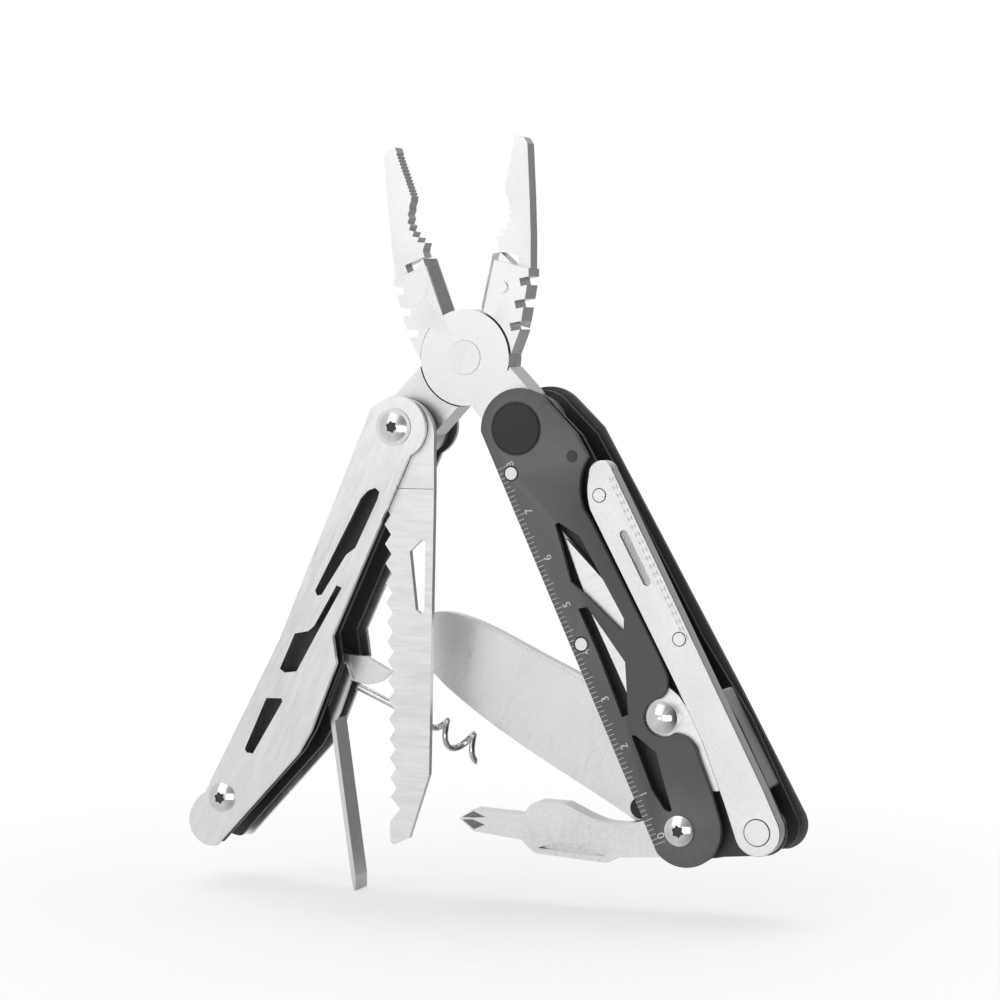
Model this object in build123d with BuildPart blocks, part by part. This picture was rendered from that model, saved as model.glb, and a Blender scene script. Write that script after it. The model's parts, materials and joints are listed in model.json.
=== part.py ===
from build123d import *
import copy
import math
import os

os.makedirs("parts", exist_ok=True)

# Multi tool, opened out. Millimetres, X right, Y away from the front face, Z up.
# Every plate lies in an X-Z plane and every pivot runs along Y.

# ---- overall sizes ----
tang_reach = 19.4  # pliers pivot to each handle pivot
right_drop = 85.2  # right handle pivot to its end axle
left_drop = 87.5  # left handle pivot to its end axle
right_splay = 24.0  # lean of the right handle from straight down, degrees
left_splay = 27.2
tang_spread = 44.0  # each tang from straight down
jaw_open_left = 20.8  # left jaw from upright, degrees
jaw_open_right = 13.2
jaw_reach = 45.5  # pliers pivot to the jaw tips

# ---- stack of layers, front to back ----
scale_t = 1.0
liner_t = 1.0
bay_gap = 0.2  # between a blade and the plate beside it
side_gap = 0.3  # between a handle wall and the pliers head
saw_t = 1.3
shear_t = 0.95  # each scissor blade in the right handle
knife_t = 2.3
boss_t = 6.4  # pliers head at the pivot
front_bay = 2.7  # room between the front scale and the front liner
rear_bay = knife_t + 2 * bay_gap
fit_gap = 0.05  # running fit of a pin in its hole, radial
lap_gap = 0.1  # between the two halves of the pliers head
edge_break = 0.15
flush = 0.05  # how far the rear ends of screws and pins lie below the back face

liner_front = scale_t + front_bay
boss_front = liner_front + liner_t + side_gap
boss_back = boss_front + boss_t
mid_depth = (boss_front + boss_back) / 2
rear_liner_front = boss_back + side_gap
rear_bay_front = rear_liner_front + liner_t
rear_scale_front = rear_bay_front + rear_bay
stack_t = rear_scale_front + scale_t

# ---- fasteners ----
pivot_r = 2.4  # handle pivot tubes
axle_r = 1.9  # end axles
mid_pin_r = 1.5
cap_r = 5.2
head_r = 3.0
head_dome = 1.1
crown = 0.75  # how far the round top of a head falls from its middle to its rim
crown_ball = (head_r**2 + crown**2) / (2 * crown)
crown_half = crown_ball - math.sqrt(crown_ball**2 - (head_r / 2) ** 2)
socket_r = 1.3
socket_root_r = 0.95
socket_turn = 11.0  # keeps the points off the seam of the turned head
socket_depth = 0.9
plier_pin_r = 3.45
boss_r = 9.7
tang_r = 6.6

# ---- tools, angle of each from the way it lies folded ----
knife_open = 39.0
driver_open = 68.0
saw_open = 27.2
strip_lean = 34.0
knife_l = 74.0
saw_l = 85.4
driver_l = 49.8
driver_t = 4.4
first_tooth = -15.9
tooth_count = 16
tooth_pitch = 3.97
tooth_depth = 1.35
tooth_line = -1.4
tooth_drift = 1.4


def swing(radius, degrees):
    """X and Z of a point hung at a radius, turned from straight down."""
    turn = math.radians(degrees)
    return (radius * math.sin(turn), -radius * math.cos(turn))


plier_at = (0.0, 0.0)
right_at = swing(tang_reach, tang_spread)
left_at = swing(tang_reach, -tang_spread)
right_fall = swing(right_drop, right_splay)
right_end = (right_at[0] + right_fall[0], right_at[1] + right_fall[1])


def facing(at, lean, depth):
    """Plane through a pivot that faces the front, its own X and Y turned by the lean."""
    turn = math.radians(lean)
    return Plane(
        origin=(at[0], depth, at[1]),
        x_dir=(math.cos(turn), 0, math.sin(turn)),
        z_dir=(0, -1, 0),
    )


def carried(at, lean, point):
    """Where a point of a leaning piece stands in X and Z."""
    turn = math.radians(lean)
    across = point[0] * math.cos(turn) - point[1] * math.sin(turn)
    along = point[0] * math.sin(turn) + point[1] * math.cos(turn)
    return (at[0] + across, at[1] + along)


def right_face(depth):
    return facing(right_at, right_splay, depth)


def left_face(depth):
    return facing(left_at, -left_splay, depth)


def side_view(at):
    """Plane through an axis, its X radial and its Y the depth."""
    return Plane(origin=(at[0], 0, at[1]), x_dir=(1, 0, 0), z_dir=(0, 0, 1))


def axis_at(at):
    return Axis((at[0], 0, at[1]), (0, 1, 0))


def finish(piece, name):
    piece.part.label = name
    pieces.append(piece.part)


pieces = []

# ---- places on the right handle, in its own X and Y ----
right_axle = (0.0, -right_drop)
lever_pivot = (14.6, -91.0)
scale_pins = [(-4.6, -7.7), (-4.4, -44.3)]
small_rivet = (8.8, -9.7)
lever_pins = [(10.8, -18.9), (14.9, -50.9)]
scissor_rivet = (5.5, -63.7)
notch_r = 3.7
lever_t = 3.0
lever_front = 0.5
lever_pin_r = 1.25
lever_axle_r = 2.5
stud_r = 3.2
stud_pin_r = 1.6
stud_dome = 1.0
stud_ball = (stud_r**2 + stud_dome**2) / (2 * stud_dome)
stud_half = stud_ball - math.sqrt(stud_ball**2 - (stud_r / 2) ** 2)
inlay_at = (12.8, -33.0)
inlay_l = 12.0
inlay_w = 1.7
inlay_turn = 94.0

# ---- places on the left handle ----
left_axle = (0.0, -left_drop)
mid_pin = (7.5, -52.0)


def star_points():
    """Six-pointed socket."""
    corners = []
    for step in range(12):
        reach = socket_r if step % 2 == 0 else socket_root_r
        corners.append(swing(reach, step * 30 + socket_turn))
    return corners


def screw(at, seat, back, radius, name):
    """Screw with a domed head and six-pointed socket on the front, its end flush with the back."""
    with BuildPart() as bolt:
        with BuildSketch(side_view(at)):
            with BuildLine():
                Polyline((0, back - flush), (0, seat - head_dome))
                ThreePointArc(
                    (0, seat - head_dome),
                    (head_r / 2, seat - head_dome + crown_half),
                    (head_r, seat - head_dome + crown),
                )
                Polyline(
                    (head_r, seat - head_dome + crown),
                    (head_r, seat),
                    (radius, seat),
                    (radius, back - flush),
                    (0, back - flush),
                )
            make_face()
        revolve(axis=axis_at(at))
        with BuildSketch(facing(at, 0, seat - head_dome - socket_depth)):
            Polygon(*star_points(), align=None)
        extrude(amount=-2 * socket_depth, mode=Mode.SUBTRACT)
    finish(bolt, name)


def pin(points, place, front, back, radius, name):
    """Plain pins between two depths, one solid for each point."""
    with BuildPart() as pins:
        with BuildSketch(place(back)):
            with Locations(*points):
                Circle(radius)
        extrude(amount=back - front)
    finish(pins, name)


# ==== pliers head ====
jaw_t = 5.4
jaw_front = mid_depth - jaw_t / 2
jaw_tip_t = 3.6
jaw_tip_w = 2.8
jaw_base_w = 9.9
hollow_low = 23.5
hollow_high = 34.0
hollow_depth = 2.3
cutter_low = 9.0
cutter_step = 1.7
insert_t = 3.4
insert_w = 6.2
insert_screw_r = 1.2
insert_screw_at = (-4.6, 15.6)
notch_w = 1.6
grip_pitch = 0.72
grip_depth = 0.3


def jaw_outline(side):
    """Closed outline of a jaw, side -1 for the left jaw and 1 for the right."""
    fine = []
    rows = int((jaw_reach - 1.2 - hollow_high) / grip_pitch)
    for row in range(rows):
        height = jaw_reach - 1.2 - row * grip_pitch
        fine.append((side * 0.02, height))
        fine.append((side * grip_depth, height - grip_pitch / 2))
    coarse = []
    bites = 7
    for bite in range(bites):
        share = (bite + 0.5) / bites
        height = hollow_high - share * (hollow_high - hollow_low)
        sag = hollow_depth * math.sin(math.pi * share)
        half = (hollow_high - hollow_low) / bites / 2
        coarse.append((side * (sag + 0.05), height + half))
        coarse.append((side * (sag + 0.75), height))
    points = [(side * 0.02, jaw_reach)]
    points += fine
    points += coarse
    points += [
        (side * cutter_step, hollow_low),
        (side * cutter_step, cutter_low),
        (0, 0),
        (side * (boss_r - 0.4), 1.5),
        (side * (jaw_base_w + 0.4), 8.0),
        (side * (jaw_base_w - 0.2), 19.0),
        (side * 7.9, 26.8),
        (side * 5.9, 34.3),
        (side * (jaw_tip_w + 0.2), jaw_reach - 1.0),
        (side * (jaw_tip_w - 0.9), jaw_reach),
    ]
    return points


def plier_half(side, lap_front, lap_back, handle_at, lean, name):
    """Half of the pliers head: jaw, lapped boss and the tang to a handle pivot."""
    other_front = boss_front if lap_front > boss_front else lap_back
    away = math.degrees(math.atan2(handle_at[0], -handle_at[1]))
    with BuildPart() as half:
        with BuildSketch(facing(plier_at, lean, jaw_front + jaw_t)):
            Polygon(*jaw_outline(side), align=None)
        extrude(amount=jaw_t)
        # the tang is a web from the boss to a round end on the handle pivot
        with BuildSketch(facing(plier_at, away, boss_back)):
            with Locations((0, -tang_reach)):
                Circle(tang_r)
            with Locations((0, -tang_reach / 2)):
                Rectangle(2 * tang_r * 0.88, tang_reach)
        extrude(amount=boss_t)
        with BuildSketch(facing(plier_at, 0, boss_back)):
            Circle(boss_r + side_gap)
        extrude(amount=boss_t, mode=Mode.SUBTRACT)
        with BuildSketch(facing(plier_at, 0, lap_back)):
            Circle(boss_r)
        extrude(amount=lap_back - lap_front)
        # webs that tie jaw and tang to the boss on its own side of the lap
        with BuildSketch(facing(plier_at, lean, lap_back)):
            with Locations((side * (cutter_step + jaw_base_w) / 2, boss_r)):
                Rectangle(jaw_base_w - cutter_step, 2.5)
        extrude(amount=min(lap_back, jaw_front + jaw_t) - max(lap_front, jaw_front))
        with BuildSketch(facing(plier_at, away, lap_back)):
            with Locations((0, -boss_r)):
                Rectangle(2 * tang_r * 0.8, 2.5)
        extrude(amount=lap_back - lap_front)
        # pivot holes
        with BuildSketch(facing(plier_at, 0, boss_back)):
            Circle(plier_pin_r + fit_gap)
        extrude(amount=boss_t, mode=Mode.SUBTRACT)
        with BuildSketch(facing(handle_at, 0, boss_back)):
            Circle(pivot_r + fit_gap)
        extrude(amount=boss_t, mode=Mode.SUBTRACT)
        # the jaw thins towards its tip, front and back
        for depth, way in ((jaw_front, 1), (jaw_front + jaw_t, -1)):
            thin = (jaw_t - jaw_tip_t) / 2
            with BuildSketch(
                Plane(
                    origin=facing(plier_at, lean, depth).origin,
                    x_dir=facing(plier_at, lean, depth).y_dir,
                    z_dir=facing(plier_at, lean, depth).x_dir,
                )
            ):
                Polygon(
                    (jaw_reach * 0.45, 0),
                    (jaw_reach + 1, way * thin * 1.05),
                    (jaw_reach + 1, -way),
                    (jaw_reach * 0.45, -way),
                    align=None,
                )
            extrude(amount=12, both=True, mode=Mode.SUBTRACT)
        # pocket of the cutter insert and its screw hole
        with BuildSketch(facing(plier_at, lean, mid_depth + insert_t / 2 + bay_gap / 2)):
            with Locations((side * (insert_w / 2 + 0.1), 15.8)):
                Rectangle(insert_w + 0.2, 13.2)
        extrude(amount=insert_t + bay_gap, mode=Mode.SUBTRACT)
        with BuildSketch(facing(plier_at, lean, jaw_front + jaw_t)):
            with Locations((-side * insert_screw_at[0], insert_screw_at[1])):
                Circle(insert_screw_r)
        extrude(amount=jaw_t, mode=Mode.SUBTRACT)
        # three finger grooves across the back of the jaw
        with BuildSketch(facing(plier_at, lean, jaw_front + jaw_t)):
            for height in (9.0, 13.6, 18.2):
                with Locations((side * (jaw_base_w + 0.2), height)):
                    Rectangle(4.2, notch_w, rotation=side * 24)
        extrude(amount=jaw_t, mode=Mode.SUBTRACT)
    finish(half, name)


lap_mid = mid_depth
plier_half(-1, boss_front, lap_mid - lap_gap / 2, right_at, jaw_open_left, "front_jaw")
plier_half(1, lap_mid + lap_gap / 2, boss_back, left_at, -jaw_open_right, "rear_jaw")


def cutter_insert(side, lean, name):
    """Replaceable wire cutter, a bevelled wedge held in the jaw by one screw."""
    with BuildPart() as insert:
        with BuildSketch(facing(plier_at, lean, mid_depth + insert_t / 2)):
            Polygon(
                (side * 0.05, 10.2),
                (side * 0.05, 21.4),
                (side * 2.2, 22.2),
                (side * insert_w, 20.0),
                (side * insert_w, 10.4),
                (side * 2.0, 9.6),
                align=None,
            )
        extrude(amount=insert_t)
        with BuildSketch(facing(plier_at, lean, mid_depth + insert_t / 2)):
            with Locations((-side * insert_screw_at[0], insert_screw_at[1])):
                Circle(insert_screw_r)
        extrude(amount=insert_t, mode=Mode.SUBTRACT)
        # both faces slope to the cutting edge
        for way in (-1, 1):
            frame = facing(plier_at, lean, mid_depth)
            with BuildSketch(Plane(origin=frame.origin, x_dir=frame.x_dir, z_dir=frame.y_dir)):
                Polygon(
                    (-side * 0.5, way * 0.25),
                    (side * 0.05, way * 0.25),
                    (side * 2.2, way * insert_t / 2),
                    (side * 2.2, way * (insert_t / 2 + 1)),
                    (-side * 0.5, way * (insert_t / 2 + 1)),
                    align=None,
                )
            extrude(amount=30, mode=Mode.SUBTRACT)
    finish(insert, name)


cutter_insert(-1, jaw_open_left, "front_wire_cutter")
cutter_insert(1, -jaw_open_right, "rear_wire_cutter")


def jaw_face(lean):
    return lambda depth: facing(plier_at, lean, depth)


pin([insert_screw_at], jaw_face(jaw_open_left), jaw_front - 0.05, jaw_front + jaw_t,
    insert_screw_r, "front_cutter_screw")
pin([(-insert_screw_at[0], insert_screw_at[1])], jaw_face(-jaw_open_right), jaw_front - 0.4,
    jaw_front + jaw_t, insert_screw_r, "rear_cutter_screw")
pin([(0, 0)], jaw_face(0), boss_front - 0.1, boss_back + 0.1, plier_pin_r, "plier_pivot_pin")

# ==== right handle ====


def right_scale_outline():
    """Outline of the ruled scale: straight ruler edge, round ends, cut-away for the lever."""
    Line((-6.2, -right_drop - 2.3), (-7.3, 2.5))
    ThreePointArc((-7.3, 2.5), (0.3, 7.8), (8.5, 1.6))
    Polyline((8.5, 1.6), (11.4, -6.0), (11.9, -11.1), (11.0, -11.8))
    ThreePointArc((11.0, -11.8), (8.2, -15.2), (6.9, -20.0))
    Polyline((6.9, -20.0), (7.4, -23.3), (9.8, -51.6), (9.9, -56.0))
    ThreePointArc((9.9, -56.0), (9.1, -58.5), (6.5, -60.1))
    ThreePointArc((6.5, -60.1), (scissor_rivet[0] - notch_r, scissor_rivet[1]), (6.5, -67.3))
    ThreePointArc((6.5, -67.3), (8.9, -69.2), (9.5, -73.0))
    Polyline((9.5, -73.0), (9.2, -81.5), (8.6, -right_drop - 1.1))
    ThreePointArc(
        (8.6, -right_drop - 1.1), (1.6, -right_drop - 7.6), (-6.2, -right_drop - 2.3)
    )


window_a = [(0.0, -20.6), (0.9, -20.5), (3.9, -24.6), (6.0, -43.0), (5.2, -44.8),
            (4.4, -44.8), (0.7, -36.6), (-1.5, -32.2)]
window_b = [(-2.2, -37.6), (-0.3, -38.0), (2.8, -50.9), (-0.8, -60.6), (-2.2, -60.6),
            (-1.9, -47.2)]
window_c = [(-1.8, -64.6), (-1.0, -64.8), (1.7, -69.4), (1.2, -72.5), (0.2, -80.9),
            (-0.5, -81.2), (-1.3, -80.2), (-2.1, -75.9)]

with BuildPart() as front_scale:
    with BuildSketch(right_face(scale_t)):
        with BuildLine():
            right_scale_outline()
        make_face()
        for window in (window_a, window_b, window_c):
            Polygon(*window, align=None, mode=Mode.SUBTRACT)
        with Locations(*scale_pins):
            Circle(lever_pin_r + fit_gap, mode=Mode.SUBTRACT)
        with Locations(small_rivet):
            Circle(1.1 + fit_gap, mode=Mode.SUBTRACT)
        with Locations((0, 0)):
            Circle(cap_r + fit_gap, mode=Mode.SUBTRACT)
        with Locations(right_axle):
            Circle(axle_r + fit_gap, mode=Mode.SUBTRACT)
    extrude(amount=scale_t)
    chamfer(front_scale.faces().sort_by(Axis.Y)[0].outer_wire().edges(), edge_break)
finish(front_scale, "front_scale")


def right_liner(front, thumb_notch, name):
    """Steel liner: full width at the foot, where it carries the lever pivot."""
    with BuildPart() as liner:
        with BuildSketch(right_face(front + liner_t)):
            with BuildLine():
                Polyline((-5.9, -right_drop - 1.5), (-6.7, 2.0))
                ThreePointArc((-6.7, 2.0), (0.3, 7.2), (8.0, 1.2))
                Polyline((8.0, 1.2), (11.0, -6.2), (12.0, -15.0), (15.4, -52.0))
                Polyline((15.4, -52.0), (18.4, -70.0), (19.2, lever_pivot[1]))
                ThreePointArc((19.2, lever_pivot[1]), (17.6, -95.0), (14.0, -96.0))
                Polyline((14.0, -96.0), (3.0, -right_drop - 7.2))
                ThreePointArc((3.0, -right_drop - 7.2), (-3.4, -right_drop - 6.0),
                              (-5.9, -right_drop - 1.5))
            make_face()
            with Locations((0, 0)):
                Circle(pivot_r + fit_gap, mode=Mode.SUBTRACT)
            with Locations(right_axle):
                Circle(axle_r + fit_gap, mode=Mode.SUBTRACT)
            with Locations(lever_pivot):
                Circle(lever_axle_r + fit_gap, mode=Mode.SUBTRACT)
            if thumb_notch:
                Polygon(*thumb_notch, align=None, mode=Mode.SUBTRACT)
        extrude(amount=liner_t)
    finish(liner, name)


# the rear liner is cut away where the knife's thumb stud swings in
stud_notch = [(-8.0, -80.0), (-4.0, -77.0), (-1.6, -75.8), (-1.6, -70.3), (-8.0, -70.3)]
right_liner(liner_front, [], "front_liner")
right_liner(rear_liner_front, stud_notch, "rear_liner")

with BuildPart() as rear_scale:
    with BuildSketch(right_face(stack_t)):
        with BuildLine():
            Polyline((-6.2, -right_drop - 2.3), (-7.3, 2.5))
            ThreePointArc((-7.3, 2.5), (0.3, 7.8), (8.5, 2.2))
            Polyline((8.5, 2.2), (11.4, -5.0), (17.4, -64.5), (19.6, lever_pivot[1]))
            ThreePointArc((19.6, lever_pivot[1]), (17.9, -95.4), (14.0, -96.6))
            Polyline((14.0, -96.6), (3.0, -right_drop - 7.8))
            ThreePointArc((3.0, -right_drop - 7.8), (-3.8, -right_drop - 6.6),
                          (-6.2, -right_drop - 2.3))
        make_face()
        with Locations((0, 0)):
            Circle(cap_r + fit_gap, mode=Mode.SUBTRACT)
        with Locations(right_axle):
            Circle(axle_r + fit_gap, mode=Mode.SUBTRACT)
        with Locations(lever_pivot):
            Circle(lever_axle_r + fit_gap, mode=Mode.SUBTRACT)
    extrude(amount=scale_t)
finish(rear_scale, "rear_scale")


def cap_pin(at, name):
    """Handle pivot: a tube through both walls with a wide flush cap at each end."""
    with BuildPart() as post:
        with BuildSketch(side_view(at)):
            with BuildLine():
                Polyline(
                    (0, -0.15),
                    (cap_r - 0.3, -0.15),
                    (cap_r, 0.15),
                    (cap_r, scale_t),
                    (pivot_r, scale_t),
                    (pivot_r, rear_scale_front),
                    (cap_r, rear_scale_front),
                    (cap_r, stack_t - flush),
                    (0, stack_t - flush),
                    close=True,
                )
            make_face()
        revolve(axis=axis_at(at))
    finish(post, name)


cap_pin(right_at, "right_pivot_pin")
screw(right_end, 0, stack_t, axle_r, "right_end_screw")
pin(scale_pins, right_face, -0.1, scale_t, lever_pin_r, "scale_pins")
pin([small_rivet], right_face, -0.05, liner_front, 1.1, "scale_rivet")

# spacers keep the scale and the liner apart round the pivot and the axle
spacer_wall = 1.5


def spacer(point, place, front, back, bore, name):
    """Ring round a shank that keeps two plates apart."""
    with BuildPart() as ring:
        with BuildSketch(place(back)):
            with Locations(point):
                Circle(bore + spacer_wall)
                Circle(bore + fit_gap, mode=Mode.SUBTRACT)
        extrude(amount=back - front)
    finish(ring, name)


spacer((0, 0), right_face, scale_t, liner_front, pivot_r, "front_pivot_spacer")
spacer((0, 0), right_face, rear_bay_front, rear_scale_front, pivot_r,
        "rear_pivot_spacer")
spacer(right_axle, right_face, scale_t, liner_front, axle_r, "front_axle_spacer")

# back spring between the liners, on the outer side of the foot
with BuildPart() as back_spring:
    with BuildSketch(right_face(rear_liner_front)):
        with BuildLine():
            Polyline(
                (12.4, -63.6),
                (17.2, -62.8),
                (18.6, -84.0),
                (13.0, -85.0),
                (13.4, -72.0),
                close=True,
            )
        make_face()
    extrude(amount=rear_liner_front - liner_front - liner_t)
    fillet(back_spring.edges().filter_by(Axis.Y), 0.6)
finish(back_spring, "back_spring")

# ==== scissors in the front bay: a sprung lever bar, a plate and a second blade ====
with BuildPart() as lever_bar:
    with BuildSketch(right_face(lever_front + lever_t)):
        with BuildLine():
            Polyline((7.8, -20.8), (10.6, -59.0), (11.2, -71.0), (10.5, -84.0),
                     (9.9, lever_pivot[1]))
            ThreePointArc((9.9, lever_pivot[1]), (lever_pivot[0], lever_pivot[1] - 4.7),
                          (19.3, lever_pivot[1]))
            Polyline((19.3, lever_pivot[1]), (19.2, -84.0), (18.2, -66.0), (15.4, -15.6))
            ThreePointArc((15.4, -15.6), (13.2, -12.6), (10.3, -14.4))
            ThreePointArc((10.3, -14.4), (8.6, -17.4), (7.8, -20.8))
        make_face()
        with Locations(lever_pivot):
            Circle(lever_axle_r + fit_gap, mode=Mode.SUBTRACT)
        with Locations(*lever_pins):
            Circle(lever_pin_r + fit_gap, mode=Mode.SUBTRACT)
        with Locations(inlay_at):
            SlotOverall(inlay_l, inlay_w, rotation=inlay_turn, mode=Mode.SUBTRACT)
    extrude(amount=lever_t)
    chamfer(lever_bar.faces().sort_by(Axis.Y)[0].outer_wire().edges(), edge_break)
finish(lever_bar, "lever_bar")

with BuildPart() as lever_inlay:
    with BuildSketch(right_face(lever_front + lever_t)):
        with Locations(inlay_at):
            SlotOverall(inlay_l - 2 * fit_gap, inlay_w - 2 * fit_gap, rotation=inlay_turn)
    extrude(amount=lever_t - 0.6)
finish(lever_inlay, "lever_inlay")

pin(lever_pins, right_face, lever_front - 0.1, lever_front + lever_t, lever_pin_r,
    "lever_pins")
pin([lever_pivot], right_face, lever_front - 0.15, stack_t - flush, lever_axle_r, "lever_axle")

shear_front = scale_t + bay_gap
shear_back_front = shear_front + shear_t + fit_gap
with BuildPart() as scissor_plate:
    with BuildSketch(right_face(shear_front + shear_t)):
        with BuildLine():
            Polyline((0.6, -24.0), (6.8, -40.0), (7.4, -56.0), (10.1, -61.0), (10.9, -65.0),
                     (11.2, -71.0), (10.65, -81.0), (6.6, -79.6))
            ThreePointArc((6.6, -79.6), (4.6, -77.0), (2.2, -74.0))
            Polyline((2.2, -74.0), (0.6, -66.0), (-0.4, -40.0), (0.6, -24.0))
        make_face()
        with Locations(scissor_rivet):
            Circle(stud_pin_r + fit_gap, mode=Mode.SUBTRACT)
    extrude(amount=shear_t)
finish(scissor_plate, "scissor_plate")

with BuildPart() as scissor_blade:
    with BuildSketch(right_face(shear_back_front + shear_t)):
        with BuildLine():
            Polyline((0.0, -22.0), (3.4, -32.0), (4.4, -58.0))
            ThreePointArc((4.4, -58.0), (9.0, -62.0), (8.6, -67.5))
            Polyline((8.6, -67.5), (6.2, -74.0), (2.8, -74.0), (0.4, -64.0), (-0.8, -40.0),
                     (0.0, -22.0))
        make_face()
        with Locations(scissor_rivet):
            Circle(stud_pin_r + fit_gap, mode=Mode.SUBTRACT)
    extrude(amount=shear_t)
finish(scissor_blade, "scissor_blade")

stud_at = carried(right_at, right_splay, scissor_rivet)
with BuildPart() as scissor_stud:
    with BuildSketch(side_view(stud_at)):
        with BuildLine():
            Line((0, shear_back_front + shear_t), (0, -stud_dome))
            ThreePointArc((0, -stud_dome), (stud_r / 2, stud_half - stud_dome), (stud_r, 0))
            Polyline(
                (stud_r, 0),
                (stud_r, shear_front),
                (stud_pin_r, shear_front),
                (stud_pin_r, shear_back_front + shear_t),
                (0, shear_back_front + shear_t),
            )
        make_face()
    revolve(axis=axis_at(stud_at))
finish(scissor_stud, "scissor_stud")

# ==== knife ====
knife_front = rear_bay_front + bay_gap
with BuildPart() as knife_blade:
    knife_lean = right_splay + knife_open
    with BuildSketch(facing(right_end, knife_lean, knife_front + knife_t)):
        with BuildLine():
            Spline((6.0, 9.0), (12.4, 22.0), (12.5, 44.0), (11.6, 60.2), (8.6, 69.8),
                   (1.4, knife_l))
            Spline((1.4, knife_l), (-2.9, 64.5), (-5.0, 54.0), (-6.4, 36.0), (-7.2, 12.0))
            Line((-7.2, 12.0), (-6.2, 2.0))
            ThreePointArc((-6.2, 2.0), (0, -6.4), (6.0, 2.0))
            Line((6.0, 2.0), (6.0, 9.0))
        make_face()
        Circle(axle_r + fit_gap, mode=Mode.SUBTRACT)
    extrude(amount=knife_t)
finish(knife_blade, "knife_blade")

with BuildPart() as knife_stud:
    with BuildSketch(facing(right_end, knife_lean, knife_front)):
        with Locations((-4.2, 12.2)):
            Circle(2.2)
    extrude(amount=1.0)
    chamfer(knife_stud.edges().sort_by(Axis.Y)[0], 0.3)
finish(knife_stud, "knife_stud")

# ==== screwdriver with bottle opener lip ====
driver_front = mid_depth - driver_t / 2
with BuildPart() as screwdriver:
    driver_lean = right_splay + driver_open
    with BuildSketch(facing(right_end, driver_lean, driver_front + driver_t)):
        with BuildLine():
            Polyline((0.0, driver_l), (1.8, 46.8), (1.0, 35.6), (2.6, 34.6))
            ThreePointArc((2.6, 34.6), (3.4, 33.6), (3.9, 32.4))
            Line((3.9, 32.4), (3.6, 26.6))
            Spline((3.6, 26.6), (1.8, 22.8), (0.2, 18.5), (-0.1, 14.5), (2.4, 6.2))
            ThreePointArc((2.4, 6.2), (0.0, -5.4), (-6.2, 2.0))
            Polyline((-6.2, 2.0), (-6.8, 15.8), (-8.0, 17.8), (-6.6, 33.4), (-4.9, 35.4),
                     (-4.0, 36.2), (-2.6, 46.8), (0.0, driver_l))
        make_face()
        Circle(axle_r + fit_gap, mode=Mode.SUBTRACT)
    extrude(amount=driver_t)
    with BuildSketch(facing(right_end, driver_lean, driver_front)):
        with BuildLine():
            ThreePointArc((-6.7, 18.2), (-4.4, 24.6), (-5.5, 32.6))
            Line((-5.5, 32.6), (-6.7, 18.2))
        make_face()
    extrude(amount=-1.2, mode=Mode.SUBTRACT)
finish(screwdriver, "screwdriver")

# ==== left handle ====
left_windows = [
    [(0.8, -14.2), (2.0, -12.9), (3.2, -13.2), (3.5, -14.6), (3.6, -25.9), (2.4, -28.2),
     (1.2, -38.2), (0.4, -38.9), (-0.5, -38.2), (0.1, -16.3)],
    [(3.3, -34.8), (4.6, -34.7), (3.8, -46.8), (3.3, -55.2), (1.0, -56.8), (-0.3, -56.6),
     (-0.6, -48.4), (1.9, -46.4), (2.6, -44.8)],
    [(-0.3, -63.6), (2.8, -61.9), (3.3, -62.4), (2.2, -75.6), (0.8, -76.1), (0.1, -75.6)],
]
head_plate_r = 6.8


def left_outline(grow):
    """Outline of the left handle plates, grown or shrunk a little for the inner ones."""
    Line((-3.9 - grow, -left_drop - 1.0), (-3.1 - grow, -51.0))
    Line((-3.1 - grow, -51.0), (-6.2 - grow, 1.0))
    Line((-6.2 - grow, 1.0), (-4.6 - grow, 3.6))
    ThreePointArc((-4.6 - grow, 3.6), (3.0, 6.1 + grow), (5.7 + grow, -3.6))
    Polyline((5.7 + grow, -3.6), (7.2 + grow, -44.6), (10.5 + grow, -49.2),
             (11.7 + grow, -64.7))
    Polyline((11.7 + grow, -64.7), (11.3 + grow, -70.2), (3.4 + grow, -left_drop - 9.8))
    ThreePointArc((3.4 + grow, -left_drop - 9.8), (-1.6, -left_drop - 10.7 - grow),
                  (-5.1 - grow, -left_drop - 6.6))
    ThreePointArc((-5.1 - grow, -left_drop - 6.6), (-5.0 - grow, -left_drop - 3.6),
                  (-3.9 - grow, -left_drop - 1.0))


def left_plate(front, thick, grow, windows, name):
    with BuildPart() as plate:
        with BuildSketch(left_face(front + thick)):
            with BuildLine():
                left_outline(grow)
            make_face()
            for window in windows:
                Polygon(*window, align=None, mode=Mode.SUBTRACT)
            Circle(pivot_r + fit_gap, mode=Mode.SUBTRACT)
            with Locations(left_axle):
                Circle(axle_r + fit_gap, mode=Mode.SUBTRACT)
            if not windows:
                with Locations(mid_pin):
                    Circle(mid_pin_r + fit_gap, mode=Mode.SUBTRACT)
        extrude(amount=thick)
    finish(plate, name)


left_plate(0, scale_t, 0, left_windows, "left_front_plate")
left_plate(liner_front, liner_t, -0.5, [], "left_front_liner")
left_plate(rear_liner_front, liner_t, -0.5, [], "left_rear_liner")
left_plate(rear_scale_front, scale_t, 0, left_windows, "left_rear_plate")

left_end = carried(left_at, -left_splay, left_axle)
screw(left_at, 0, stack_t, pivot_r, "left_pivot_screw")
screw(left_end, 0, stack_t, axle_r, "left_end_screw")
pin([mid_pin], left_face, liner_front, rear_liner_front + liner_t, mid_pin_r,
    "left_tool_pin")
spacer((0, 0), left_face, rear_bay_front, rear_scale_front, pivot_r,
        "left_rear_spacer")
spacer(left_axle, left_face, scale_t, liner_front, axle_r, "left_front_axle_spacer")
spacer(left_axle, left_face, rear_bay_front, rear_scale_front, axle_r,
        "left_rear_axle_spacer")
spacer(left_axle, left_face, liner_front + liner_t, rear_liner_front, axle_r,
       "left_axle_spacer")

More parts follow.
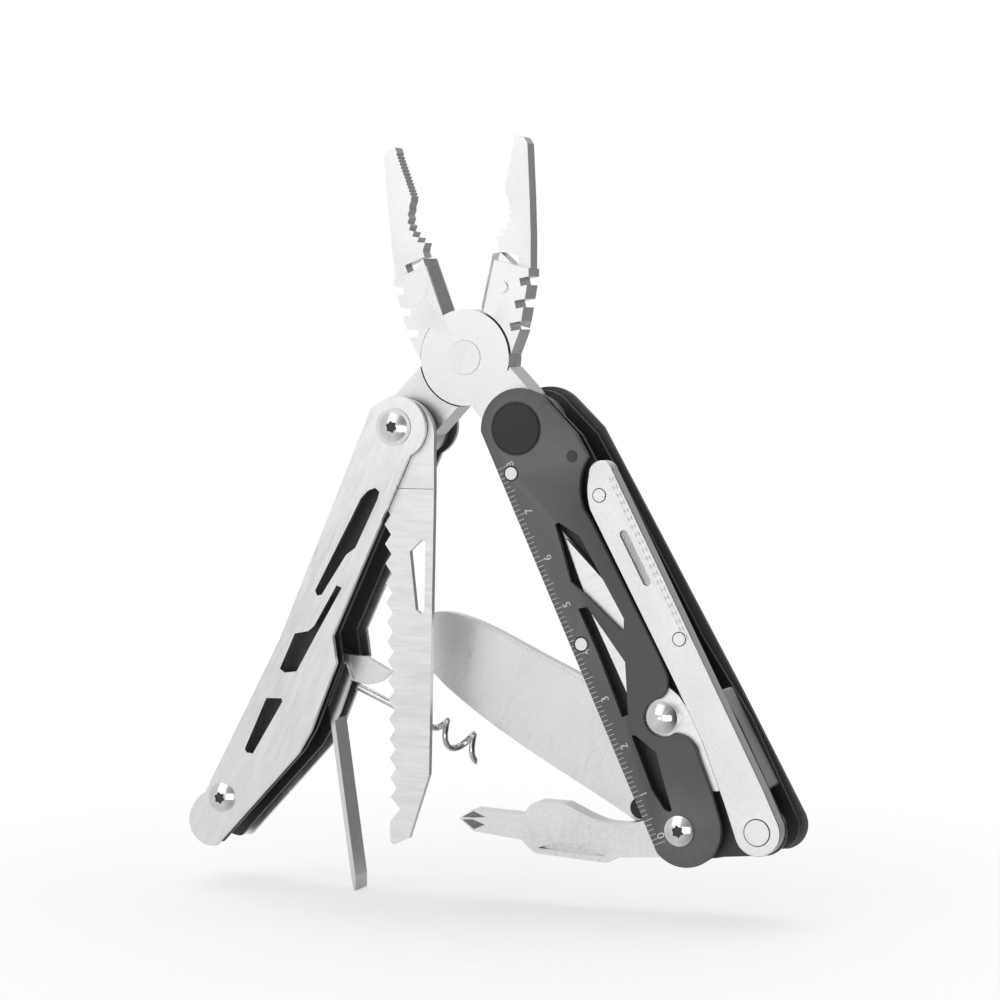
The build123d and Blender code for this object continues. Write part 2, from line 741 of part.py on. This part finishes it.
# spine between the liners along the outer edge, below where the jaws fold in
spine_top = 64.0
with BuildPart() as left_spine:
    with BuildSketch(left_face(rear_liner_front)):
        with BuildLine():
            Polyline((-3.2, -left_drop + 6.0), (-2.5, -spine_top), (-0.5, -spine_top),
                     (-1.0, -left_drop + 6.0), close=True)
        make_face()
    extrude(amount=rear_liner_front - liner_front - liner_t)
finish(left_spine, "left_spine")

# ==== saw, on the left pivot ====
saw_front = scale_t + 0.3
saw_lean = -left_splay + saw_open
with BuildPart() as saw_blade:
    with BuildSketch(facing(left_at, saw_lean, saw_front + saw_t)):
        teeth = []
        for tooth in range(tooth_count):
            height = first_tooth - tooth * tooth_pitch
            edge = tooth_line + tooth / tooth_count * tooth_drift
            teeth.append((edge, height + tooth_pitch / 2))
            teeth.append((edge - tooth_depth, height))
        with BuildLine():
            Polyline(
                (-1.3, -9.5),
                *teeth,
                (0.7, 7.7 - saw_l),
                (-1.6, 4.8 - saw_l),
                (-1.6, 1.0 - saw_l),
                (-0.8, 0.2 - saw_l),
                (2.7, 1.8 - saw_l),
                (7.2, 15.0 - saw_l),
                (8.4, -12.5),
                (8.4, -2.4),
            )
            ThreePointArc((8.4, -2.4), (3.4, 5.4), (-5.6, 2.0))
            ThreePointArc((-5.6, 2.0), (-5.4, -4.0), (-1.3, -9.5))
        make_face()
        Circle(pivot_r + fit_gap, mode=Mode.SUBTRACT)
        Polygon((3.0, -25.1), (5.6, -22.7), (6.5, -23.2), (6.2, -37.1), (5.4, -37.8),
                (4.3, -37.0), (3.1, -26.2), align=None, mode=Mode.SUBTRACT)
    extrude(amount=saw_t)
finish(saw_blade, "saw_blade")

# ==== three small tools side by side on the mid pin of the left handle ====
strip_t = 1.0
hook_t = 1.4
eye_r = 2.9
layer_gap = 0.15
shank_r = 0.75
strip_front = liner_front + liner_t + 0.2
hook_front = strip_front + strip_t + layer_gap
cork_depth = hook_front + hook_t + layer_gap + shank_r
pin_at = carried(left_at, -left_splay, mid_pin)
with BuildPart() as can_opener:
    with BuildSketch(facing(pin_at, -left_splay, hook_front + hook_t)):
        with BuildLine():
            ThreePointArc((0.6, eye_r), (-eye_r, 0.0), (0.6, -eye_r))
            Polyline((0.6, -eye_r), (5.3, -0.6), (8.4, 0.2))
            ThreePointArc((8.4, 0.2), (10.6, 1.8), (11.8, 3.6))
            Polyline((11.8, 3.6), (12.5, 5.7), (11.6, 5.5), (5.8, 5.4), (0.6, eye_r))
        make_face()
        Circle(mid_pin_r + fit_gap, mode=Mode.SUBTRACT)
    extrude(amount=hook_t)
finish(can_opener, "can_opener")

helix_r = 2.3
helix_rise = 6.5  # along the axis for one turn
helix_lead = 24.0  # straight shank before the first turn
helix_turns = 1.95
cork_tilt = 4.2
coil_steps = 16
cork_frame = facing(pin_at, cork_tilt - left_splay, cork_depth)
cork_centre = -2.2


def cork_wire():
    """Points along the wire: a straight shank that winds out into an even helix."""
    points = []
    steps = int(helix_turns * coil_steps)
    for step in range(steps + 1):
        turn = step / coil_steps
        spread = helix_r * min(1.0, turn / 0.5)
        angle = 2 * math.pi * (turn + 0.5)
        points.append(
            cork_frame.from_local_coords(
                Vector(
                    helix_lead + helix_rise * turn,
                    cork_centre + spread * math.cos(angle),
                    spread * math.sin(angle),
                )
            )
        )
    return points


with BuildPart() as corkscrew:
    with BuildSketch(facing(pin_at, cork_tilt - left_splay, cork_depth + shank_r)):
        Circle(eye_r)
        with Locations((3.2, cork_centre)):
            Rectangle(6.4, 2 * shank_r)
        Circle(mid_pin_r + fit_gap, mode=Mode.SUBTRACT)
    extrude(amount=2 * shank_r)
    with BuildLine() as wire:
        shank_start = cork_frame.from_local_coords(Vector(4.6, cork_centre, 0))
        coil = cork_wire()
        shank_end = coil[0]
        Line(shank_start, shank_end)
        Spline(*coil)
    with BuildSketch(Plane(origin=shank_start, z_dir=cork_frame.x_dir)):
        Circle(shank_r)
    sweep(path=wire.wires()[0])
finish(corkscrew, "corkscrew")

spacer(mid_pin, left_face, cork_depth + shank_r + layer_gap, rear_liner_front, mid_pin_r,
       "left_tool_spacer")

# flat driver: sheet bent square, a lug on the pin and a long strip standing out behind it
strip_w = 5.4
strip_l = 46.8
strip_turn = -left_splay + strip_lean
with BuildPart() as strip_driver:
    with BuildSketch(facing(pin_at, strip_turn, strip_front + strip_t)):
        Circle(eye_r)
        Polygon((-2.2, -1.6), (2.6, 1.2), (3.9, -0.2), (4.6, -3.0), (3.0, -6.0),
                (1.1, -9.7), (-0.2, -11.4), (-1.2, -11.4), (-1.2, -9.6), align=None)
        Circle(mid_pin_r + fit_gap, mode=Mode.SUBTRACT)
    extrude(amount=strip_t)
    with BuildSketch(facing(pin_at, strip_turn, strip_front + strip_w)):
        Polygon((-1.25, -11.0), (-0.25, -11.0), (0.6, -strip_l + 3.0), (0.2, -strip_l),
                (-0.1, -strip_l), (-0.4, -strip_l + 3.0), align=None)
    extrude(amount=strip_w)
finish(strip_driver, "strip_driver")

# ---- the whole tool stands with the middle of its foot at the origin ----
whole = Compound(children=[copy.copy(piece) for piece in pieces]).bounding_box()
foot = Vector(-whole.center().X, -whole.center().Y, -whole.min.Z)
for piece in pieces:
    placed = Pos(foot) * piece
    placed.label = piece.label
    export_step(placed, "parts/" + piece.label + ".step")
print("origin moved by", foot)
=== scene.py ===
import json
import math

import bpy
from mathutils import Matrix, Vector


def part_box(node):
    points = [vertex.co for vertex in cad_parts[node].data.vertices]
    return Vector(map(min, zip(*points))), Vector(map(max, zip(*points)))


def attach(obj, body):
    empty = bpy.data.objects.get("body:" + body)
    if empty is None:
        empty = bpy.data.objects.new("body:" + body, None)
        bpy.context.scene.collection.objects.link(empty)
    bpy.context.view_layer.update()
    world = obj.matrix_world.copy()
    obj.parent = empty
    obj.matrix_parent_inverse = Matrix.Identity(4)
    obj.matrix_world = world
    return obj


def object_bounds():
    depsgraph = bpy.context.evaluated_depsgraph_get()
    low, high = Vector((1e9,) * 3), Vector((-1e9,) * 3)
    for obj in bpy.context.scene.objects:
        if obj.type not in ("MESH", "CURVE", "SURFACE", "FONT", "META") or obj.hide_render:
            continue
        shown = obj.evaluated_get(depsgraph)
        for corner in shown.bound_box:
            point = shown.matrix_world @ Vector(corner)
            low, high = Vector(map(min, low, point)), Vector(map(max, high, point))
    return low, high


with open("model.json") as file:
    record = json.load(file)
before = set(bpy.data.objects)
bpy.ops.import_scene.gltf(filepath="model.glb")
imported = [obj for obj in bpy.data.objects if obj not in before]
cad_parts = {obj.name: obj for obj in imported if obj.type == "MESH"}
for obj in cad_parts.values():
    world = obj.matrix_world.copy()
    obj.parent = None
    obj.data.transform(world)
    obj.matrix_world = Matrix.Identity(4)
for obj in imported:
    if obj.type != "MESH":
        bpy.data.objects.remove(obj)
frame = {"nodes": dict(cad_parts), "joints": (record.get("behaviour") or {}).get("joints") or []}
nodes = frame["nodes"]
start_low, start_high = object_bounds()
MM = 0.001

# ---- each handle's pivot, read from the frame, and its lean ----
joint_at = {joint["name"]: Vector(joint["pos_m"]) for joint in frame["joints"]}
right_pivot = joint_at["right_fold"]
right_foot = joint_at["knife_fold"]
left_pivot = joint_at["left_fold"]
right_lean = math.atan2(right_foot.x - right_pivot.x, right_pivot.z - right_foot.z)
left_lean = math.radians(-27.2)
scale_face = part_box("front_scale")[0].y
bar_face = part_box("lever_bar")[0].y


def on_handle(pivot, lean, across, along, depth):
    """Point in the row frame from millimetres across and along a handle."""
    across, along = across * MM, along * MM
    x = pivot.x + across * math.cos(lean) - along * math.sin(lean)
    z = pivot.z + across * math.sin(lean) + along * math.cos(lean)
    return Vector((x, depth, z))


# ==== materials ====
def shader(name):
    material = bpy.data.materials.new(name)
    material.use_nodes = True
    tree = material.node_tree
    surface = tree.nodes["Principled BSDF"]
    return material, tree, surface


def grain_noise(tree, scale, stretch, turn, detail=6.0):
    """Noise drawn out along one direction of the X-Z plane."""
    place = tree.nodes.new("ShaderNodeTexCoord")
    mapping = tree.nodes.new("ShaderNodeMapping")
    mapping.vector_type = "TEXTURE"
    mapping.inputs["Rotation"].default_value = (0, -turn, 0)
    mapping.inputs["Scale"].default_value = stretch
    noise = tree.nodes.new("ShaderNodeTexNoise")
    noise.inputs["Scale"].default_value = scale
    noise.inputs["Detail"].default_value = detail
    noise.inputs["Roughness"].default_value = 0.65
    tree.links.new(place.outputs["Object"], mapping.inputs["Vector"])
    tree.links.new(mapping.outputs["Vector"], noise.inputs["Vector"])
    return noise.outputs["Fac"]


def ramp(tree, value, low, high, start=0.3, end=0.7):
    mix = tree.nodes.new("ShaderNodeMapRange")
    mix.inputs["From Min"].default_value = start
    mix.inputs["From Max"].default_value = end
    mix.inputs["To Min"].default_value = low
    mix.inputs["To Max"].default_value = high
    tree.links.new(value, mix.inputs["Value"])
    return mix.outputs["Result"]


def tint(tree, value, dark, light):
    mix = tree.nodes.new("ShaderNodeMix")
    mix.data_type = "RGBA"
    mix.inputs["A"].default_value = (*dark, 1)
    mix.inputs["B"].default_value = (*light, 1)
    tree.links.new(value, mix.inputs["Factor"])
    return mix.outputs["Result"]


def edge_wear(tree, colour, worn, amount):
    """Lighter metal where the surface bends sharply."""
    geometry = tree.nodes.new("ShaderNodeNewGeometry")
    bent = ramp(tree, geometry.outputs["Pointiness"], 0.0, amount, 0.52, 0.62)
    mix = tree.nodes.new("ShaderNodeMix")
    mix.data_type = "RGBA"
    mix.inputs["B"].default_value = (*worn, 1)
    tree.links.new(colour, mix.inputs["A"])
    tree.links.new(bent, mix.inputs["Factor"])
    return mix.outputs["Result"]


def finish_metal(name, dark, light, rough, metallic=1.0, turn=0.0, stretch=(1, 1, 1),
                 scale=400.0, bump=0.05, worn=(0.8, 0.8, 0.8), wear=0.5):
    """Metal with grain in its colour, roughness and surface, and worn edges."""
    material, tree, surface = shader(name)
    grain = grain_noise(tree, scale, stretch, turn)
    smudge = grain_noise(tree, 60.0, (1, 1, 1), 0.0, 3.0)
    colour = tint(tree, ramp(tree, grain, 0.0, 1.0), dark, light)
    colour = edge_wear(tree, colour, worn, wear)
    tree.links.new(colour, surface.inputs["Base Color"])
    both = tree.nodes.new("ShaderNodeMath")
    both.operation = "ADD"
    tree.links.new(ramp(tree, grain, rough * 0.8, rough * 1.1), both.inputs[0])
    tree.links.new(ramp(tree, smudge, -0.04, 0.05), both.inputs[1])
    tree.links.new(both.outputs["Value"], surface.inputs["Roughness"])
    surface.inputs["Metallic"].default_value = metallic
    relief = tree.nodes.new("ShaderNodeBump")
    relief.inputs["Strength"].default_value = bump
    relief.inputs["Distance"].default_value = 0.0001
    tree.links.new(grain, relief.inputs["Height"])
    tree.links.new(relief.outputs["Normal"], surface.inputs["Normal"])
    return material


fine = (1, 1, 1)
across_grain = (9, 1, 1)
along_grain = (1, 1, 9)
matt_steel = finish_metal("bead blasted steel", (0.56, 0.56, 0.56), (0.74, 0.74, 0.74), 0.44,
                          scale=2600, bump=0.25)
jaw_steel = finish_metal("satin forged steel", (0.55, 0.55, 0.56), (0.7, 0.7, 0.7), 0.38,
                         scale=1800, bump=0.2)
left_steel = finish_metal("brushed plate", (0.6, 0.6, 0.6), (0.76, 0.76, 0.76), 0.34,
                          turn=left_lean, stretch=along_grain, scale=1500, bump=0.08)
saw_steel = finish_metal("cross-ground saw", (0.62, 0.62, 0.62), (0.78, 0.78, 0.78), 0.36,
                         stretch=across_grain, scale=1500, bump=0.12)
knife_steel = finish_metal("ground blade", (0.62, 0.62, 0.62), (0.70, 0.70, 0.70), 0.33,
                           turn=math.radians(63), stretch=across_grain, scale=3200, bump=0.04)
tool_steel = finish_metal("satin tool steel", (0.55, 0.55, 0.55), (0.72, 0.72, 0.72), 0.34,
                          scale=1600, bump=0.12)
bright_steel = finish_metal("polished steel", (0.55, 0.55, 0.56), (0.68, 0.68, 0.69), 0.16,
                            scale=700, bump=0.02)
window_steel = finish_metal("brushed steel behind the windows", (0.66, 0.66, 0.66),
                            (0.82, 0.82, 0.82), 0.36, turn=right_lean, stretch=across_grain,
                            scale=1500, bump=0.08)
dark_scale = finish_metal("grey anodised scale", (0.040, 0.040, 0.041), (0.056, 0.056, 0.057),
                          0.55, metallic=0.15, scale=3000, bump=0.25, worn=(0.3, 0.3, 0.3),
                          wear=0.35)
black_part = finish_metal("black oxide", (0.010, 0.010, 0.011), (0.022, 0.022, 0.023), 0.42,
                          metallic=0.5, scale=2200, bump=0.15, worn=(0.12, 0.12, 0.12),
                          wear=0.3)
white_pin = finish_metal("bright pin", (0.86, 0.86, 0.86), (0.95, 0.95, 0.95), 0.5,
                         metallic=0.1, scale=900)
knurled = finish_metal("knurled grey block", (0.10, 0.10, 0.10), (0.26, 0.26, 0.26), 0.5,
                       scale=3200, bump=0.8)
paint, paint_tree, paint_surface = shader("ruler paint")
paint_grain = grain_noise(paint_tree, 2500.0, fine, 0.0)
paint_tone = tint(paint_tree, ramp(paint_tree, paint_grain, 0, 1), (0.5, 0.5, 0.5),
                  (0.75, 0.75, 0.75))
paint_tree.links.new(paint_tone, paint_surface.inputs["Base Color"])
paint_surface.inputs["Roughness"].default_value = 0.6

finishes = {
    matt_steel: ["lever_bar", "plier_pivot_pin", "lever_axle", "lever_pins"],
    jaw_steel: ["front_jaw", "rear_jaw", "front_cutter_screw", "rear_cutter_screw"],
    left_steel: ["left_front_plate", "left_rear_plate"],
    saw_steel: ["saw_blade"],
    knife_steel: ["knife_blade"],
    tool_steel: ["screwdriver", "can_opener", "front_wire_cutter", "rear_wire_cutter"],
    bright_steel: ["corkscrew", "strip_driver", "right_end_screw", "left_end_screw",
                   "left_pivot_screw", "scissor_stud"],
    white_pin: ["scale_pins"],
    window_steel: ["scissor_plate", "scissor_blade"],
    dark_scale: ["front_scale", "rear_scale", "front_pivot_spacer", "front_axle_spacer"],
    black_part: ["right_pivot_pin", "knife_stud", "front_liner", "rear_liner", "scale_rivet",
                 "left_front_liner", "left_rear_liner", "left_spine", "left_axle_spacer",
                 "left_front_axle_spacer", "left_rear_axle_spacer", "left_rear_spacer",
                 "left_tool_spacer", "left_tool_pin", "rear_pivot_spacer"],
    knurled: ["back_spring", "lever_inlay"],
}
for material, names in finishes.items():
    for name in names:
        mesh = nodes[name].data
        mesh.materials.clear()
        mesh.materials.append(material)

# small bevels catch the light along cut edges; the corkscrew is round wire and has none
edge_bevel = 0.08 * MM
for name, node in nodes.items():
    if name == "corkscrew":
        continue
    bevel = node.modifiers.new("edge", "BEVEL")
    bevel.width = edge_bevel
    bevel.segments = 2
    bevel.limit_method = "ANGLE"
    bevel.angle_limit = math.radians(40)
    bevel.harden_normals = False


# ==== added surface detail ====
def plates(name, corners_list, depth_front, depth_back, material, body):
    """Thin raised shapes: each list of corners is one outline in the X-Z plane."""
    verts, faces = [], []
    for corners in corners_list:
        base = len(verts)
        count = len(corners)
        verts += [(c.x, depth_front, c.z) for c in corners]
        verts += [(c.x, depth_back, c.z) for c in corners]
        faces.append(tuple(base + i for i in range(count)))
        faces.append(tuple(base + count + i for i in reversed(range(count))))
        for i in range(count):
            j = (i + 1) % count
            faces.append((base + i, base + count + i, base + count + j, base + j))
    mesh = bpy.data.meshes.new(name)
    mesh.from_pydata(verts, [], faces)
    mesh.materials.append(material)
    piece = bpy.data.objects.new(name, mesh)
    bpy.context.scene.collection.objects.link(piece)
    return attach(piece, body)


# ruler: eighty-one ticks, one a millimetre
ruler_zero = -86.0
ruler_ticks = 81
tick_w = 0.11
tick_inset = 0.15
long_tick, half_tick, short_tick = 2.5, 1.9, 1.3
scale_edge, scale_taper = -6.2, 1.1
taper_start, taper_run = 87.5, 90.0
paint_lift = 0.03 * MM
ticks = []
for step in range(ruler_ticks):
    along = ruler_zero + step
    edge = scale_edge - scale_taper * (along + taper_start) / taper_run + tick_inset
    length = long_tick if step % 10 == 0 else half_tick if step % 5 == 0 else short_tick
    box = [(edge, along - tick_w / 2), (edge + length, along - tick_w / 2),
           (edge + length, along + tick_w / 2), (edge, along + tick_w / 2)]
    ticks.append([on_handle(right_pivot, right_lean, x, y, 0) for x, y in box])
plates("ruler_ticks", ticks, scale_face - paint_lift, scale_face + paint_lift, paint,
       "right_handle")

# numbers beside the centimetre ticks; the zero sits a little further in
digit_size = 2.3 * MM
digit_across = -4.0
zero_nudge = 1.3
for number in range(9):
    curve = bpy.data.curves.new(f"ruler_number_{number}", "FONT")
    curve.body = str(number)
    curve.size = digit_size
    curve.extrude = paint_lift
    curve.align_x = "CENTER"
    curve.align_y = "CENTER"
    text = bpy.data.objects.new(f"ruler_number_{number}", curve)
    bpy.context.scene.collection.objects.link(text)
    shift = zero_nudge if number == 0 else 0.0
    spot = on_handle(right_pivot, right_lean, digit_across + 0.1 * shift,
                     ruler_zero + 10 * number + shift, scale_face)
    along_handle = Matrix.Rotation(-(right_lean + math.pi / 2), 4, "Y")
    upright = Matrix.Rotation(math.pi / 2, 4, "X")
    text.matrix_world = Matrix.Translation(spot) @ along_handle @ upright
    bpy.context.view_layer.update()
    digits = bpy.data.meshes.new_from_object(text.evaluated_get(
        bpy.context.evaluated_depsgraph_get()))
    digits.materials.clear()
    digits.materials.append(paint)
    solid = bpy.data.objects.new(f"ruler_digit_{number}", digits)
    solid.matrix_world = text.matrix_world
    bpy.context.scene.collection.objects.link(solid)
    bpy.data.objects.remove(text)
    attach(solid, "right_handle")

# grip marks: two dashed rails with rungs, along the outer edge of the lever bar
grip_rows = 21
grip_pitch = 1.7
grip_top, grip_edge = -17.0, 14.1
grip_slope = 0.052
rail_gap = 0.75
rail_half, dash_half, rung_half = 0.09, 0.55, 0.1
marks = []
for row in range(grip_rows):
    along = grip_top - row * grip_pitch
    across = grip_edge + row * grip_pitch * grip_slope
    for rail in (0.0, rail_gap):
        near, far = across + rail - rail_half, across + rail + rail_half
        marks.append([(near, along - dash_half), (far, along - dash_half),
                      (far, along + dash_half), (near, along + dash_half)])
    marks.append([(across, along - rung_half), (across + rail_gap, along - rung_half),
                  (across + rail_gap, along + rung_half), (across, along + rung_half)])
marks = [[on_handle(right_pivot, right_lean, x, y, 0) for x, y in mark] for mark in marks]
plates("grip_marks", marks, bar_face - 0.06 * MM, bar_face + 0.05 * MM, bright_steel,
       "scissors")


# dark rings, and painted shade on the floors of the sockets, so that pins and screws read against
# their plates
def disc_points(centre, radius, count):
    return [Vector((centre.x + radius * math.cos(2 * math.pi * i / count), 0,
                    centre.z + radius * math.sin(2 * math.pi * i / count)))
            for i in range(count)]


def ring(name, centre, inner, outer, front, material, body, count=64):
    """Thin washer of the given radii, standing on a face."""
    verts, faces = [], []
    for radius in (inner, outer):
        for depth in (front, front + 2 * paint_lift):
            verts += [(p.x, depth, p.z) for p in disc_points(centre, radius, count)]
    for i in range(count):
        j = (i + 1) % count
        low_in, high_in, low_out, high_out = 0, count, 2 * count, 3 * count
        faces.append((low_in + i, low_out + i, low_out + j, low_in + j))
        faces.append((high_in + i, high_in + j, high_out + j, high_out + i))
        faces.append((low_out + i, high_out + i, high_out + j, low_out + j))
        faces.append((low_in + i, low_in + j, high_in + j, high_in + i))
    mesh = bpy.data.meshes.new(name)
    mesh.from_pydata(verts, [], faces)
    mesh.materials.append(material)
    piece = bpy.data.objects.new(name, mesh)
    bpy.context.scene.collection.objects.link(piece)
    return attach(piece, body)


pin_r = 1.27 * MM
for index, (across, along) in enumerate([(-4.6, -7.7), (-4.4, -44.3)]):
    ring(f"pin_ring_{index}", on_handle(right_pivot, right_lean, across, along, 0), pin_r,
         1.6 * MM, scale_face - paint_lift, black_part, "right_handle")
for index, (across, along) in enumerate([(10.8, -18.9), (14.9, -50.9)]):
    ring(f"lever_ring_{index}", on_handle(right_pivot, right_lean, across, along, 0), pin_r,
         1.45 * MM, bar_face - paint_lift, black_part, "scissors")
ring("cap_ring", right_pivot, 5.1 * MM, 5.4 * MM, scale_face - paint_lift, black_part,
     "right_handle")
lever_foot = joint_at["scissors_swing"]
ring("lever_foot_ring", lever_foot, 2.5 * MM, 2.72 * MM, bar_face - paint_lift, black_part,
     "scissors")

socket_point, socket_valley = 1.34 * MM, 1.0 * MM
socket_turn = 11
socket_floor, socket_base = 0.25 * MM, 0.95 * MM


def socket(name, screw, body):
    """Painted shade: a dark six-pointed plate on the floor of a screw's socket."""
    low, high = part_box(screw)
    centre = (low + high) / 2
    corners = []
    for step in range(12):
        reach = socket_point if step % 2 == 0 else socket_valley
        turn = math.radians(step * 30 + socket_turn)
        corners.append(Vector((centre.x + reach * math.sin(turn), 0,
                               centre.z - reach * math.cos(turn))))
    plates(name, [corners], low.y + socket_floor, low.y + socket_base, black_part, body)


# painted shade: dark star-shaped plates in the three screw sockets
socket("right_socket_shade", "right_end_screw", "right_handle")
socket("left_end_socket_shade", "left_end_screw", "left_handle")
socket("left_pivot_socket_shade", "left_pivot_screw", "left_handle")
ring("pivot_washer", left_pivot, 2.9 * MM, 3.8 * MM, scale_face - 6 * paint_lift, bright_steel,
     "left_handle")

# jimping: fine dark ribs across the back of the knife, painted shade of its notches, and a line
# where its bevel starts
knife_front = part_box("knife_blade")[0].y
knife_open = 39
knife_lean = right_lean + math.radians(knife_open)


def on_knife(across, along):
    return on_handle(right_foot, knife_lean, across, along, 0)


notch_shade = []
rib_count = 70
rib_start, rib_end = 14.0, 62.0
rib_w = 0.16
back_across = 12.47
for rib in range(rib_count):
    along = rib_start + (rib_end - rib_start) * rib / rib_count
    share = (along - 22.0) / 40.0
    tip_fall = 0.9 * max(0.0, share) ** 2.6
    heel_fall = 3.4 * max(0.0, 0.2 - max(share, -0.2)) ** 1.4
    crest = back_across - tip_fall - heel_fall
    inner, outer = crest - 0.5, crest - 0.05
    notch_shade.append([on_knife(inner, along), on_knife(outer, along),
                 on_knife(outer, along + rib_w), on_knife(inner, along + rib_w)])
# the dark ribs are painted shade in the jimping notches
plates("knife_jimping_shade", notch_shade, knife_front - 0.012 * MM, knife_front + 0.3 * MM, knurled, "knife")

bevel_line = [on_knife(2.2, 68.5), on_knife(2.2, 20.0), on_knife(2.32, 20.0), on_knife(2.32, 68.5)]
plates("knife_grind_line", [bevel_line], knife_front - 0.01 * MM, knife_front + 0.1 * MM,
       tool_steel, "knife")

# grind line across the saw
saw_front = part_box("saw_blade")[0].y
grind_z = left_pivot.z - 12.4 * MM
grind_w = 0.14 * MM
grind_left, grind_right = left_pivot.x - 1.2 * MM, left_pivot.x + 8.3 * MM
grind = [Vector((grind_left, 0, grind_z)), Vector((grind_right, 0, grind_z)),
         Vector((grind_right, 0, grind_z - grind_w)), Vector((grind_left, 0, grind_z - grind_w))]
plates("saw_grind_line", [grind], saw_front - 0.01 * MM, saw_front + 0.1 * MM, knurled, "saw")

# thin dark shapes on the face of the driver's tip: painted shade in its flutes
driver_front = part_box("screwdriver")[0].y
driver_open = 68
driver_lean = right_lean + math.radians(driver_open)


def on_driver(across, along):
    return on_handle(right_foot, driver_lean, across, along, 0)


flute_shade = [
    [on_driver(0.25, 49.2), on_driver(1.5, 46.6), on_driver(0.35, 44.0), on_driver(0.15, 46.8)],
    [on_driver(-0.25, 49.2), on_driver(-0.2, 46.8), on_driver(-1.2, 44.2), on_driver(-2.2, 46.6)],
]
# the flute shapes are painted shade, in the dark knurled material
plates("driver_flute_shade", flute_shade, driver_front - 0.02 * MM, driver_front + 0.2 * MM, knurled,
       "driver")

# ==== camera ====
# the camera looks at a point on the front face of the scale, between the handles
aim = right_pivot + Vector((-3.46 * MM, 0, -14.23 * MM))
aim = Vector((aim.x, scale_face, aim.z))
camera_turn = math.radians(23.84)
camera_rise = math.radians(3.25)
camera_far = 0.57256
camera_data = bpy.data.cameras.new("camera")
camera_data.lens = 103.8
camera_data.sensor_width = 36
camera = bpy.data.objects.new("camera", camera_data)
bpy.context.scene.collection.objects.link(camera)
away = Vector((math.sin(camera_turn) * math.cos(camera_rise),
               -math.cos(camera_turn) * math.cos(camera_rise), math.sin(camera_rise)))
camera.location = aim + away * camera_far
camera.rotation_euler = (math.pi / 2 - camera_rise, 0, camera_turn)
bpy.context.scene.camera = camera

# ==== studio ====
middle = (start_low + start_high) / 2


def lamp(name, where, size, power):
    data = bpy.data.lights.new(name, "AREA")
    data.shape = "RECTANGLE"
    data.size = size[0]
    data.size_y = size[1]
    data.energy = power
    light = bpy.data.objects.new(name, data)
    light.location = middle + Vector(where)
    light.rotation_euler = (-Vector(where)).to_track_quat("-Z", "Y").to_euler()
    bpy.context.scene.collection.objects.link(light)


lamp("key", (-0.3, -0.66, 0.32), (0.5, 0.6), 0.8)
lamp("front", (0.16, -0.8, -0.1), (0.5, 0.3), 1.3)
lamp("top", (0.0, 0.1, 0.65), (0.6, 0.4), 1.8)
lamp("rim", (0.62, 0.2, 0.25), (0.12, 0.6), 0.8)

floor_mesh = bpy.data.meshes.new("floor")
half = 1.2
floor_gap = 0.0002
floor_mesh.from_pydata([(-half, -half, 0), (half, -half, 0), (half, half, 0), (-half, half, 0)],
                       [], [(0, 1, 2, 3)])
floor = bpy.data.objects.new("floor", floor_mesh)
floor.location = (middle.x, middle.y, start_low.z - floor_gap)
bpy.context.scene.collection.objects.link(floor)
floor_material, floor_tree, floor_surface = shader("pale floor")
floor_grain = grain_noise(floor_tree, 90.0, fine, 0.0)
floor_tree.links.new(
    tint(floor_tree, ramp(floor_tree, floor_grain, 0, 1), (0.86, 0.86, 0.86), (0.9, 0.9, 0.9)),
    floor_surface.inputs["Base Color"])
floor_surface.inputs["Roughness"].default_value = 0.8
floor_place = floor_tree.nodes.new("ShaderNodeTexCoord")
floor_spread = floor_tree.nodes.new("ShaderNodeMapping")
fade_scale = 6.5
floor_spread.inputs["Scale"].default_value = (fade_scale, fade_scale, fade_scale)
floor_fade = floor_tree.nodes.new("ShaderNodeTexGradient")
floor_fade.gradient_type = "SPHERICAL"
clear = floor_tree.nodes.new("ShaderNodeBsdfTransparent")
blend = floor_tree.nodes.new("ShaderNodeMixShader")
output = floor_tree.nodes["Material Output"]
floor_tree.links.new(floor_place.outputs["Object"], floor_spread.inputs["Vector"])
floor_tree.links.new(floor_spread.outputs["Vector"], floor_fade.inputs["Vector"])
floor_tree.links.new(ramp(floor_tree, floor_fade.outputs["Fac"], 0.0, 0.55, 0.0, 1.0),
                     blend.inputs["Fac"])
floor_tree.links.new(clear.outputs["BSDF"], blend.inputs[1])
floor_tree.links.new(floor_surface.outputs["BSDF"], blend.inputs[2])
floor_tree.links.new(blend.outputs["Shader"], output.inputs["Surface"])
floor_mesh.materials.append(floor_material)

world = bpy.data.worlds.new("studio")
world.use_nodes = True
bpy.context.scene.world = world
sky = world.node_tree
background = sky.nodes["Background"]
path = sky.nodes.new("ShaderNodeLightPath")
place = sky.nodes.new("ShaderNodeTexCoord")
# a room that is bright to the left and dark to the right, so that cut edges show
split = sky.nodes.new("ShaderNodeSeparateXYZ")
sky.links.new(place.outputs["Generated"], split.inputs["Vector"])
soft = ramp(sky, split.outputs["X"], 0.88, 0.03, -0.35, 0.75)
seen = sky.nodes.new("ShaderNodeMix")
seen.data_type = "FLOAT"
sky.links.new(path.outputs["Is Camera Ray"], seen.inputs["Factor"])
sky.links.new(soft, seen.inputs["A"])
seen.inputs["B"].default_value = 1.0
sky.links.new(seen.outputs["Result"], background.inputs["Strength"])
background.inputs["Color"].default_value = (1, 1, 1, 1)

scene = bpy.context.scene
scene.view_settings.view_transform = "Standard"
